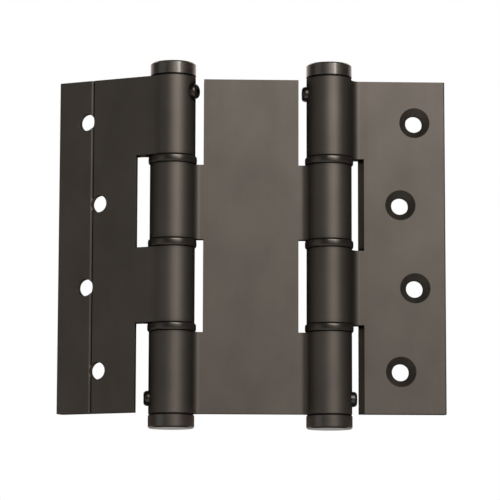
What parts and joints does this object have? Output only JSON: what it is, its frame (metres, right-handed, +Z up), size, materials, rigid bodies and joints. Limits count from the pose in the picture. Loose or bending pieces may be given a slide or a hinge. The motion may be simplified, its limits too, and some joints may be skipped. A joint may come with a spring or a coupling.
{
  "type": "spring hinge",
  "caption": "Double-action spring hinge: a middle plate between sprung barrels, with a screw-on leaf at each side that folds flat over the plate.",
  "frame": {"origin": "centre of the right leaf's screw holes, on its mounting face", "axes": "+X along the open hinge towards the right leaf's free edge, +Y out of the right leaf's mounting face, +Z up along the barrels"},
  "size_m": [0.1388, 0.0247, 0.1309],
  "materials": {
    "bronze_leaf": "satin dark bronze anodised",
    "turned_plug": "turned and dark bronze anodised",
    "dark_screw": "blackened steel",
    "nylon_bush": "dark moulded nylon",
    "spring_steel": "oiled spring steel"
  },
  "bodies": {
    "right_leaf": {"right_leaf": "bronze_leaf", "right_top_plug": "turned_plug", "right_top_screw": "dark_screw"},
    "middle_plate": {"middle_plate": "bronze_leaf", "left_bottom_plug": "turned_plug", "left_bottom_screw": "dark_screw", "left_upper_bush": "nylon_bush", "left_middle_bush": "nylon_bush", "left_lower_bush": "nylon_bush", "left_spring": "spring_steel", "left_core_pin": "spring_steel", "right_bottom_plug": "turned_plug", "right_bottom_screw": "dark_screw", "right_upper_bush": "nylon_bush", "right_middle_bush": "nylon_bush", "right_lower_bush": "nylon_bush", "right_spring": "spring_steel", "right_core_pin": "spring_steel"},
    "left_leaf": {"left_leaf": "bronze_leaf", "left_top_plug": "turned_plug", "left_top_screw": "dark_screw"}
  },
  "joints": [
    {"name": "right_barrel", "type": "hinge", "parent": "right_leaf", "child": "middle_plate", "pos_m": [-0.0284, -0.0075, 0], "axis": [0, 0, 1], "range_deg": [0, 180], "stiffness_Nm_per_rad": 0.17, "deforming": ["right_spring"]},
    {"name": "left_barrel", "type": "hinge", "parent": "middle_plate", "child": "left_leaf", "pos_m": [-0.0844, -0.0075, 0], "axis": [0, 0, 1], "range_deg": [-154, 26], "stiffness_Nm_per_rad": 0.17, "deforming": ["left_spring"]}
  ]
}
